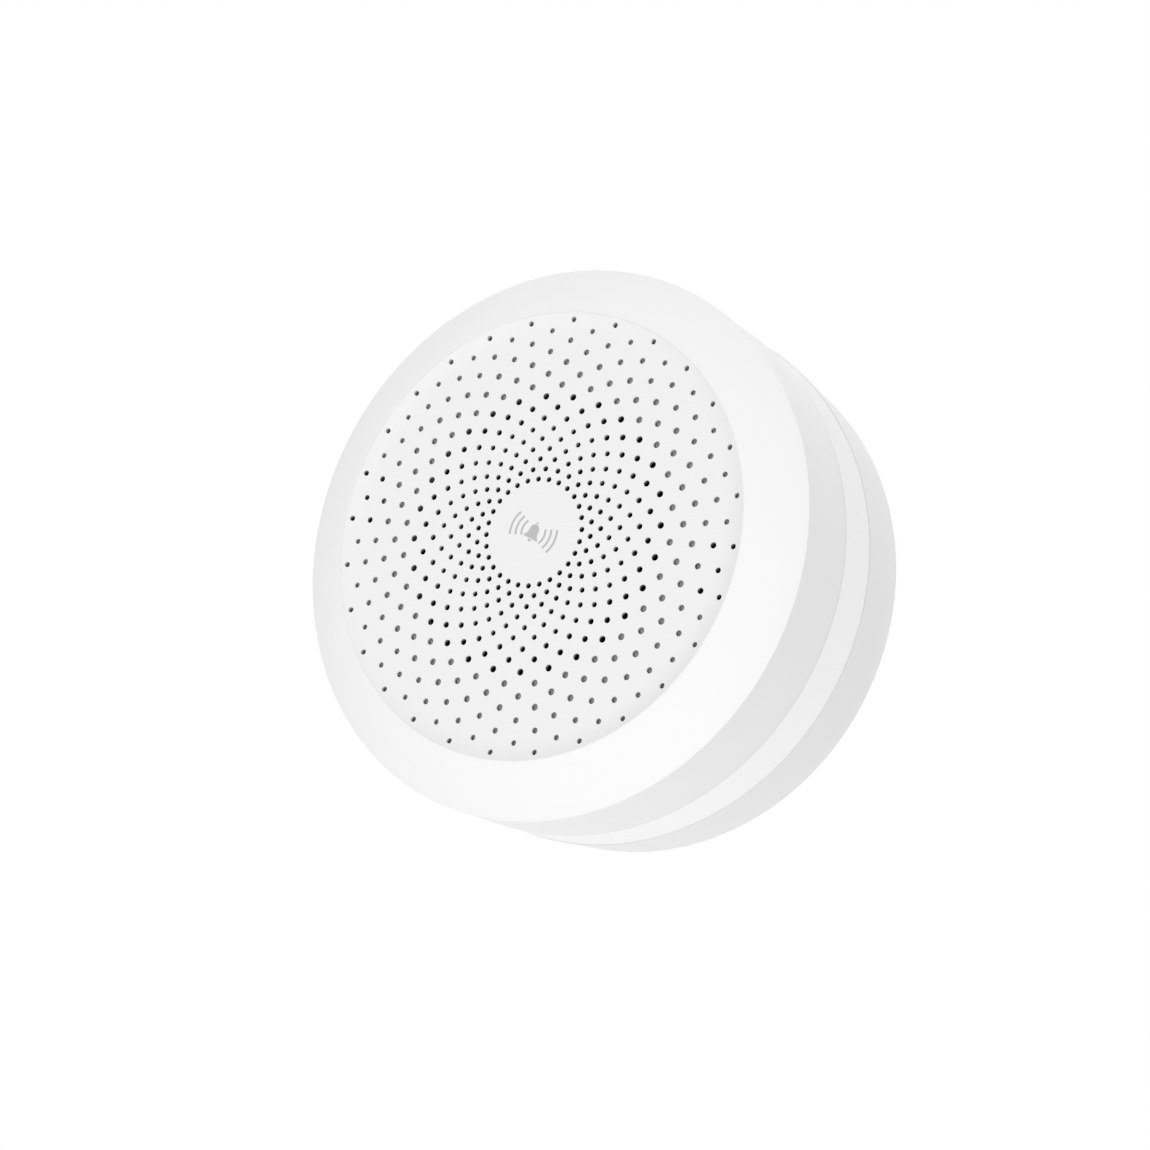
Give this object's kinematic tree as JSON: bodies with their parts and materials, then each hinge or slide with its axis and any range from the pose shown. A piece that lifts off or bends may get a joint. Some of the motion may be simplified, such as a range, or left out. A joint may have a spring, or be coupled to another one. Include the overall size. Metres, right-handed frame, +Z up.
{
  "type": "alarm siren",
  "caption": "Round plug-in alarm siren: perforated speaker grille in a translucent light ring, textured belt, side button and a flat two-pin mains plug at the back.",
  "frame": {"origin": "centre of the rear (wall-side) face, on the puck's axis, between the two plug pins", "axes": "+Y points rearward into the wall socket, along the plug pins; the grille faces -Y; +Z up; +X to the right seen from the front"},
  "size_m": [0.081, 0.0728, 0.081],
  "materials": {
    "grille_white": "satin moulded plastic, perforated",
    "ring_diffuser": "translucent white diffuser, satin gloss",
    "shell_white": "smooth satin moulded plastic",
    "belt_white": "fine spark-eroded grain",
    "button_white": "smooth satin",
    "inner_white": "matte moulded plastic",
    "baffle_grey": "matte grey moulded plastic",
    "mesh_black": "woven acoustic cloth",
    "foam_black": "closed-cell foam",
    "frame_steel": "zinc-plated pressing",
    "magnet_ferrite": "sintered ferrite",
    "cone_paper": "pressed black paper",
    "surround_rubber": "moulded rubber roll",
    "spider_cloth": "resin-treated cloth",
    "former_film": "polyimide film",
    "copper_wire": "enamelled copper",
    "board_phenolic": "phenolic strip with tinned tags",
    "lead_insulation": "insulated wire",
    "screw_steel": "zinc-plated",
    "board_white": "white solder mask",
    "board_green": "green solder mask",
    "led_package": "clear resin over phosphor",
    "cable_film": "flat flexible cable",
    "connector_ivory": "moulded connector",
    "tinned_steel": "tinned sheet",
    "chip_black": "moulded epoxy",
    "passive_ceramic": "chip parts",
    "plunger_plastic": "moulded plastic",
    "insulation_film": "thin insulating sheet",
    "pin_gold": "gold-flashed",
    "winding_tape": "yellow insulating tape",
    "cap_sleeve": "shrink sleeve",
    "resistor_body": "coated body",
    "varistor_blue": "epoxy-coated disc",
    "pin_nickel": "nickel-plated brass",
    "sleeve_grey": "insulating sleeve",
    "label_film": "blank label film"
  },
  "bodies": {
    "enclosure": {"acoustic_mesh": "mesh_black", "amplifier_chip": "chip_black", "antennas": "tinned_steel", "baffle_screws": "screw_steel", "board_passives": "passive_ceramic", "bridge_rectifier": "chip_black", "button_switch": "chip_black", "controller_chip": "chip_black", "front_grille": "grille_white", "front_housing": "shell_white", "fuse_resistor": "resistor_body", "grip_belt": "belt_white", "header_body": "chip_black", "header_pins": "pin_gold", "housing_screws": "screw_steel", "input_capacitors": "cap_sleeve", "insulation_sheet": "insulation_film", "led_board": "board_white", "led_cable": "cable_film", "led_connector": "connector_ivory", "led_reflector": "inner_white", "light_ring": "ring_diffuser", "line_inductor": "magnet_ferrite", "main_board": "board_green", "main_board_screws": "screw_steel", "output_capacitors": "cap_sleeve", "pin_retainer": "inner_white", "pin_sleeves": "sleeve_grey", "plug_pins": "pin_nickel", "power_board": "board_green", "power_board_screws": "screw_steel", "processor_chip": "chip_black", "radio_module": "chip_black", "radio_shield": "tinned_steel", "rear_housing": "shell_white", "rear_label": "label_film", "ring_leds": "led_package", "speaker_baffle": "baffle_grey", "speaker_basket": "frame_steel", "speaker_connector": "connector_ivory", "speaker_gasket": "foam_black", "speaker_leads": "lead_insulation", "speaker_magnet": "magnet_ferrite", "speaker_screws": "screw_steel", "speaker_spider": "spider_cloth", "speaker_surround": "surround_rubber", "speaker_terminals": "board_phenolic", "top_plate": "frame_steel", "transformer_core": "magnet_ferrite", "transformer_winding": "winding_tape", "varistor": "varistor_blue", "yoke": "frame_steel"},
    "speaker_diaphragm": {"speaker_cone": "cone_paper", "dust_cap": "cone_paper", "coil_former": "former_film", "voice_coil": "copper_wire"},
    "button": {"side_button": "button_white"},
    "switch_stem": {"switch_plunger": "plunger_plastic"}
  },
  "joints": [
    {"name": "cone_stroke", "type": "slide", "parent": "enclosure", "child": "speaker_diaphragm", "axis": [0, 1, 0], "range_m": [-0.0008, 0.0008], "deforming": ["speaker_surround", "speaker_spider"]},
    {"name": "button_press", "type": "slide", "parent": "enclosure", "child": "button", "axis": [1, 0, 0], "range_m": [0, 0.0004]},
    {"name": "switch_press", "type": "slide", "parent": "enclosure", "child": "switch_stem", "axis": [1, 0, 0], "range_m": [0, 0.0004]}
  ],
  "couplings": [
    {"joint": "switch_press", "follows": "button_press", "ratio": 1}
  ]
}
